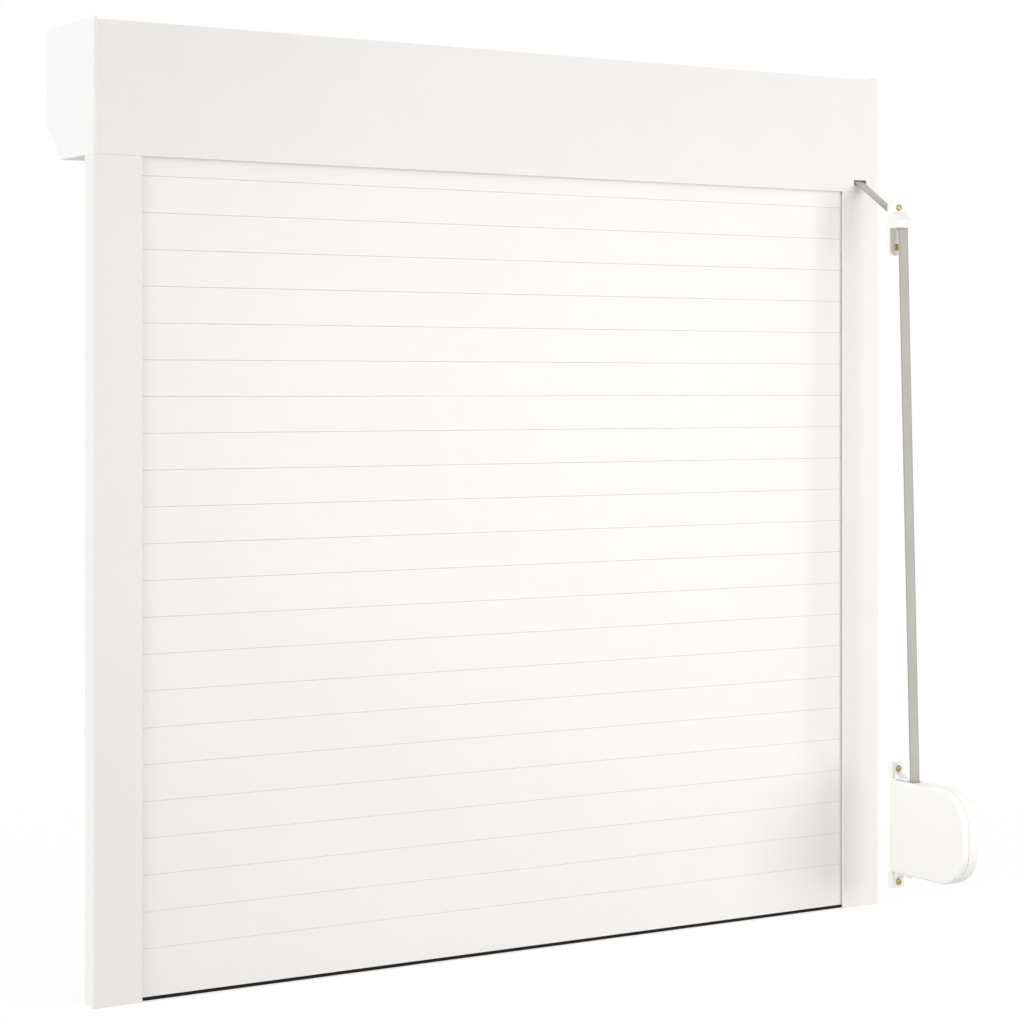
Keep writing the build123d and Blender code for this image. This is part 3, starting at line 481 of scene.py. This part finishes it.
def ribbon(name, path):
    """A flat strap along (y, z) points, its width along X."""
    section = strap_section()
    count = len(section)
    vertices = []
    lengths = []
    length = 0.0
    for i in range(len(path)):
        if i:
            length += math.dist(path[i - 1], path[i])
        lengths.append(length)
        vertices += strip_ring(path, i, STRAP_X, section)
    piece = new_piece(name, vertices, tube_faces(len(path), count), "strap_textile")
    layer = piece.data.uv_layers.new(name="UVMap")
    for loop in piece.data.loops:
        ring, point = divmod(loop.vertex_index, count)
        layer.data[loop.index].uv = (section[point][0] / STRAP_WIDTH + 0.5, lengths[ring])
    piece.data.set_sharp_from_angle(angle=CREASE)
    return piece


def wheel_point(wheel, angle):
    """Where a run in this direction meets a wheel."""
    (y, z), reach = wheel
    return (y + reach * math.sin(angle), z - reach * math.cos(angle))


def run_points(start, end):
    """Points between the ends of a straight run."""
    count = max(1, round(math.dist(start, end) / STRAP_STEP))
    return [
        (start[0] + (end[0] - start[0]) * k / count, start[1] + (end[1] - start[1]) * k / count)
        for k in range(1, count)
    ]


def open_run():
    """The strap's middle line from the pulley over both rollers to the winder's inlet."""
    guide_y = WALL_Y - GUIDE_ROLLER_REACH
    rise = math.tan(STRAP_SLOPE)
    slot_centre = (
        SLOT_ROLLER_REACH + SLOT_ROLLER_LINE * math.sin(STRAP_SLOPE),
        SLOT_STRAP_Z + SLOT_ROLLER_REACH * rise - SLOT_ROLLER_LINE * math.cos(STRAP_SLOPE),
    )
    guide_centre = (
        guide_y,
        SLOT_STRAP_Z
        + (guide_y - GUIDE_ROLLER_LINE * math.sin(STRAP_SLOPE)) * rise
        - GUIDE_ROLLER_LINE * math.cos(STRAP_SLOPE),
    )
    # each wheel is a centre and the distance from it to the strap's middle line
    wheels = [
        ((AXLE_Y, 0.0), -(PULLEY_STRAP_RADIUS + STRAP_GAP + STRAP_SHEET / 2)),
        (slot_centre, SLOT_ROLLER_LINE),
        (guide_centre, GUIDE_ROLLER_LINE),
        ((WINDER_STRAP_Y, WINDER_HIGH + STRAP_GAP), 0.0),
    ]
    angles = []
    for (here, r_here), (there, r_there) in zip(wheels, wheels[1:]):
        run = (there[0] - here[0], there[1] - here[1])
        bearing = math.atan2(run[1], run[0])
        angles.append(bearing - math.asin((r_there - r_here) / math.hypot(*run)))
    path = [wheel_point(wheels[0], angles[0])]
    for i in (1, 2):
        turn = math.remainder(angles[i] - angles[i - 1], math.tau)
        steps = max(4, round(abs(turn) / STRAP_ARC_STEP))
        arc = [wheel_point(wheels[i], angles[i - 1] + turn * k / steps) for k in range(steps + 1)]
        path += run_points(path[-1], arc[0]) + arc
    inlet = wheel_point(wheels[3], angles[2])
    return path + run_points(path[-1], inlet) + [inlet]


def winding(centre, inner, outer):
    """A spiral of strap layers between two radii."""
    low = inner + STRAP_GAP + STRAP_SHEET / 2
    high = outer - STRAP_SHEET / 2
    turns = (high - low) / (STRAP_SHEET * STRAP_LAYER)
    steps = round(turns * STRAP_TURN_STEPS)
    points = []
    for k in range(steps + 1):
        angle = -math.tau * turns * k / steps
        radius = low + (high - low) * k / steps
        points.append((centre[0] + radius * math.cos(angle), centre[1] + radius * math.sin(angle)))
    return points


strap = ribbon("strap_run", open_run())
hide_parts("strap")
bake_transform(strap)

pulley_winding = winding((AXLE_Y, 0.0), PULLEY_CORE_RADIUS, PULLEY_STRAP_RADIUS)
pulley_strap = ribbon("strap_winding", pulley_winding)
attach(pulley_strap, "axle")
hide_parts("strap_on_pulley")

drum_low, drum_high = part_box("winder_drum")
drum_centre = ((drum_low[1] + drum_high[1]) / 2, (drum_low[2] + drum_high[2]) / 2)
drum_strap = ribbon("strap_turns", winding(drum_centre, DRUM_CORE_RADIUS, DRUM_STRAP_RADIUS))
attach(drum_strap, "drum")
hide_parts("strap_on_drum")

# the feed meets the open run's lower end
feed = [(WINDER_STRAP_Y, WINDER_HIGH + STRAP_GAP), (WINDER_STRAP_Y, drum_centre[1])]
inner_strap = ribbon("strap_feed", [feed[0]] + run_points(*feed) + [feed[1]])
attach(inner_strap, "winder")
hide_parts("strap_in_winder")


# Brush pile in the rail mouths: a woven backing with leaning bristles
def backing_strip(vertices, faces, xs, ys, zs):
    """The woven backing of one strip, a thin box between its corners."""
    base = len(vertices)
    vertices.extend([(x, y, z) for z in zs for y in ys for x in xs])
    box_faces = (
        (0, 2, 3, 1),
        (4, 5, 7, 6),
        (0, 1, 5, 4),
        (2, 6, 7, 3),
        (0, 4, 6, 2),
        (1, 3, 7, 5),
    )
    faces.extend([tuple(base + i for i in face) for face in box_faces])


def bristle(vertices, faces, x, z, root, tip):
    """One three-sided bristle from its root towards the curtain, leaning a little."""
    root_thick = 0.00022
    tip_thick = root_thick / 2
    corners = 3
    most_lean_x = 0.00035
    most_lean_z = 0.0008
    shortest = 0.9
    base = len(vertices)
    lean_x = random.uniform(-most_lean_x, most_lean_x)
    lean_z = random.uniform(-most_lean_z, most_lean_z)
    reach = random.uniform(shortest, 1.0)
    end = root + (tip - root) * reach
    # the corners go round so that the faces look outwards
    step = -math.tau / corners if tip > root else math.tau / corners
    for k in range(corners):
        angle = step * k
        vertices.append((x + root_thick * math.cos(angle), root, z + root_thick * math.sin(angle)))
    for k in range(corners):
        angle = step * k
        side_x = tip_thick * math.cos(angle)
        side_z = tip_thick * math.sin(angle)
        vertices.append((x + lean_x + side_x, end, z + lean_z + side_z))
    faces.extend(tube_faces(2, corners, base))


def brush_piece():
    """Four strips of bristles, two in each rail's mouth, from the groove wall to the curtain."""
    backing = 0.0005
    strip_width = 0.0028
    clear_of_mouth = 0.0003
    clear_of_curtain = 0.0002
    spacing = 0.0007
    rows = 5
    first_row = 0.0003
    row_spacing = 0.0006
    end_margin = 0.001
    root_depth = 0.8
    low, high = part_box("rail_brushes")
    slat_low, slat_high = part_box("slat_12")
    strips = (
        (low[1], slat_low[1] - clear_of_curtain),
        (high[1], slat_high[1] + clear_of_curtain),
    )
    count = int((high[2] - low[2]) / spacing)
    vertices = []
    faces = []
    for side in (-1, 1):
        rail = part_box("right_rail" if side > 0 else "left_rail")
        mouth = rail[0][0] if side > 0 else rail[1][0]
        x_near = mouth + side * clear_of_mouth
        x_far = x_near + side * strip_width
        for root, tip in strips:
            inward = backing if tip > root else -backing
            backing_strip(
                vertices,
                faces,
                xs=sorted((x_near, x_far)),
                ys=sorted((root, root + inward)),
                zs=(low[2], high[2]),
            )
            length = high[2] - low[2] - 2 * end_margin
            for row in range(rows):
                for k in range(count):
                    z = low[2] + end_margin + length * (k + (row % 2) / 2) / count
                    x = x_near + side * (first_row + row_spacing * row)
                    bristle(vertices, faces, x, z, root + inward * root_depth, tip)
    piece = new_piece("brush_bristles", vertices, faces, "brush_pile", smooth=False)
    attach(piece, "frame")
    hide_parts("rail_brushes")


brush_piece()


# Seal under the end slat: a stem in the slot and two soft lips with a hollow between them
def seal_piece():
    """The extruded seal, swept along the curtain's width, its lips a little wavy."""
    stem = 0.00095
    stem_foot = 0.0039
    lip_height = 0.002
    steps = 60
    long_wave = (0.00008, 37.0)
    short_wave = (0.00005, 91.0)
    low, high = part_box("bottom_seal")
    middle = (low[1] + high[1]) / 2
    half = (high[1] - low[1]) / 2
    foot = low[2]
    top = high[2] - foot
    outline = [
        (-half * 0.98, 0.0038),
        (-half, 0.0026),
        (-half * 0.92, 0.0009),
        (-half * 0.72, 0.0001),
        (-half * 0.46, 0.0),
        (-half * 0.26, 0.0008),
        (-half * 0.12, 0.0016),
    ]
    outline = outline + [(-y, z) for y, z in outline[::-1]]
    outline += [(stem, stem_foot), (stem, top), (-stem, top), (-stem, stem_foot)]
    vertices = []
    for k in range(steps + 1):
        x = low[0] + (high[0] - low[0]) * k / steps
        sag = abs(sum(size * math.sin(x * rate) for size, rate in (long_wave, short_wave)))
        for y, z in outline:
            vertices.append((x, middle + y, foot + z + (sag if z < lip_height else 0.0)))
    faces = tube_faces(steps + 1, len(outline))
    piece = new_piece("seal_lips", vertices, faces, "seal_rubber")
    piece.data.set_sharp_from_angle(angle=CREASE)
    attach(piece, "curtain")
    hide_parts("bottom_seal")


seal_piece()


# Spring strips that hang the top slat from the axle
def hanger_piece():
    """Three bent steel strips with narrower ends."""
    half_sheet = 0.00045
    half_width = 0.015
    end_width = 0.8
    strip_places = (-0.33, 0.0, 0.33)
    behind_face = 0.0005
    low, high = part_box("curtain_attachments")
    face_y = high[1] - behind_face
    path = [
        (face_y, high[2]),
        (face_y, high[2] - 0.006),
        (face_y, -0.008),
        (face_y - 0.0015, -0.012),
        (face_y - 0.006, -0.0175),
        (low[1] + 0.004, low[2] + 0.006),
        (low[1] + 0.0008, low[2] + 0.0022),
        (low[1] + 0.0005, low[2]),
    ]
    vertices = []
    faces = []
    for middle in strip_places:
        base = len(vertices)
        for i in range(len(path)):
            half = half_width * (end_width if i in (0, len(path) - 1) else 1.0)
            section = (
                (-half, half_sheet),
                (half, half_sheet),
                (half, -half_sheet),
                (-half, -half_sheet),
            )
            vertices += strip_ring(path, i, middle, section)
        faces += tube_faces(len(path), 4, base)
    piece = new_piece("hanger_strips", vertices, faces, "spring_steel", smooth=False)
    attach(piece, "frame")
    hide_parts("curtain_attachments")
    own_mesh(piece)


hanger_piece()


# Floor, background, lamps and camera
def seen_directly(tree):
    """1 for what the camera, a reflection or a clear body shows, and 0 for the light it gives."""
    path = tree.nodes.new("ShaderNodeLightPath")
    seen = maths(tree, "MAXIMUM", path.outputs["Is Camera Ray"], path.outputs["Is Glossy Ray"])
    return maths(tree, "MAXIMUM", seen, path.outputs["Is Transmission Ray"])


bpy.ops.mesh.primitive_plane_add(size=FLOOR_SIZE, location=(0, 0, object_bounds()[0][2]))
floor = bpy.context.object
floor.name = "floor"
material = bpy.data.materials.new("floor")
material.use_nodes = True
tree = material.node_tree
tree.nodes.clear()
output = tree.nodes.new("ShaderNodeOutputMaterial")
surface = tree.nodes.new("ShaderNodeBsdfDiffuse")
surface.inputs["Color"].default_value = FLOOR_COLOUR
glow = tree.nodes.new("ShaderNodeEmission")
glow.inputs["Color"].default_value = WHITE
strength = maths(tree, "MULTIPLY", seen_directly(tree), FLOOR_GLOW)
tree.links.new(strength, glow.inputs["Strength"])
joined = tree.nodes.new("ShaderNodeAddShader")
tree.links.new(surface.outputs[0], joined.inputs[0])
tree.links.new(glow.outputs[0], joined.inputs[1])
tree.links.new(joined.outputs[0], output.inputs["Surface"])
floor.data.materials.append(material)

world = bpy.data.worlds.new("studio")
bpy.context.scene.world = world
world.use_nodes = True
tree = world.node_tree
tree.nodes.clear()
output = tree.nodes.new("ShaderNodeOutputWorld")
background = tree.nodes.new("ShaderNodeBackground")
background.inputs["Color"].default_value = WHITE
seen = seen_directly(tree)
strength = spread(tree, seen, low=SKY_LIGHT, high=SKY_SEEN, start=0.0, end=1.0)
tree.links.new(strength, background.inputs["Strength"])
tree.links.new(background.outputs[0], output.inputs["Surface"])

# the lamps leave the floor out, so that the object's own soft shadow on it isn't washed out
unlit = bpy.data.collections.new("unlit_floor")
unlit.objects.link(floor)
unlit.collection_objects[0].light_linking.link_state = "EXCLUDE"


def lamp(name, place, target, size, power, colour=(1.0, 1.0, 1.0)):
    """A soft square lamp that looks at the target."""
    data = bpy.data.lights.new(name, "AREA")
    data.size = size
    data.energy = power
    data.color = colour
    piece = bpy.data.objects.new(name, data)
    piece.location = place
    piece.rotation_euler = (Vector(target) - Vector(place)).to_track_quat("-Z", "Y").to_euler()
    piece.light_linking.receiver_collection = unlit
    bpy.context.scene.collection.objects.link(piece)


lamp("key", place=(1.2, -2.1, -0.5), target=(0.35, 0.0, -0.45), size=1.5, power=27)
lamp(
    "side",
    place=(-6.0, -1.1, 0.7),
    target=(0.0, 0.0, -0.4),
    size=3.5,
    power=173,
    colour=(0.94, 0.98, 1.0),
)
lamp("back", place=(1.4, 3.0, 1.8), target=(0.0, 0.0, -0.4), size=2.0, power=30)

camera_data = bpy.data.cameras.new("camera")
camera_data.lens = CAMERA_LENS
camera_data.sensor_width = CAMERA_SENSOR
camera_data.shift_y = CAMERA_SHIFT_Y
camera_data.clip_end = CAMERA_FAR
camera = bpy.data.objects.new("camera", camera_data)
camera.location = CAMERA_PLACE
camera.rotation_euler = (math.radians(90), 0, -CAMERA_YAW)
bpy.context.scene.collection.objects.link(camera)
bpy.context.scene.camera = camera
bpy.context.scene.view_settings.view_transform = "Standard"
